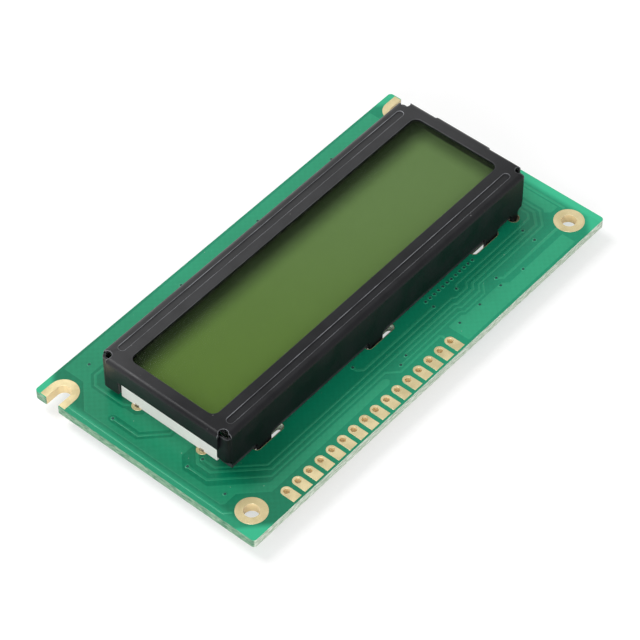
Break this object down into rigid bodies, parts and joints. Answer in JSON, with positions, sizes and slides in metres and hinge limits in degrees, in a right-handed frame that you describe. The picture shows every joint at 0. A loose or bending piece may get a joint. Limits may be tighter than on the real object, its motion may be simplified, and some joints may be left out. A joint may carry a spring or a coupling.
{
  "type": "character lcd module",
  "caption": "Character display module: green board with gold header pads, black folded steel bezel and a blank yellow-green reflective panel with backlight.",
  "frame": {"origin": "centre of the board outline, on the plane through the ends of the bezel's tabs", "axes": "+X along the board's length, +Y away from the row of header pads, +Z the way the display faces"},
  "size_m": [0.084, 0.044, 0.0124],
  "materials": {
    "solder_mask": "green solder mask over woven glass epoxy",
    "gold": "pale gold plating on copper",
    "black_steel": "satin black paint on folded steel",
    "polariser": "yellow-green reflective film with a soft gloss",
    "cell_glass": "thin float glass",
    "crystal": "clear liquid crystal film",
    "seal": "cured epoxy seal",
    "elastomer": "layered conductive silicone rubber",
    "white_plastic": "moulded white plastic",
    "diffuser": "milky diffuser sheet",
    "led_board": "white coated circuit board",
    "led_die": "yellow-green LED dies",
    "tinned": "tinned copper",
    "silicon": "bare silicon",
    "potting": "glossy black potting",
    "resistor": "black glazed film on ceramic",
    "capacitor": "tan fired ceramic"
  },
  "bodies": {
    "root": {"pcb": "solder_mask", "header_pads": "gold", "mount_lands": "gold", "open_slot_lands": "gold", "tab_slot_rims": "gold", "backlight_lands": "gold", "contact_fingers": "gold", "bezel": "black_steel", "front_polariser": "polariser", "front_glass": "cell_glass", "cell_seal": "seal", "liquid_crystal_film": "crystal", "rear_glass": "cell_glass", "rear_polariser": "polariser", "elastomer_strip_near": "elastomer", "elastomer_strip_far": "elastomer", "backlight_case": "white_plastic", "backlight_diffuser": "diffuser", "led_board": "led_board", "led_dies": "led_die", "backlight_leads": "tinned", "lead_solder": "tinned", "controller_die": "silicon", "driver_die": "silicon", "controller_potting": "potting", "driver_potting": "potting", "chip_resistors": "resistor", "chip_capacitors": "capacitor", "chip_terminals": "tinned", "chip_solder": "tinned"}
  },
  "joints": []
}
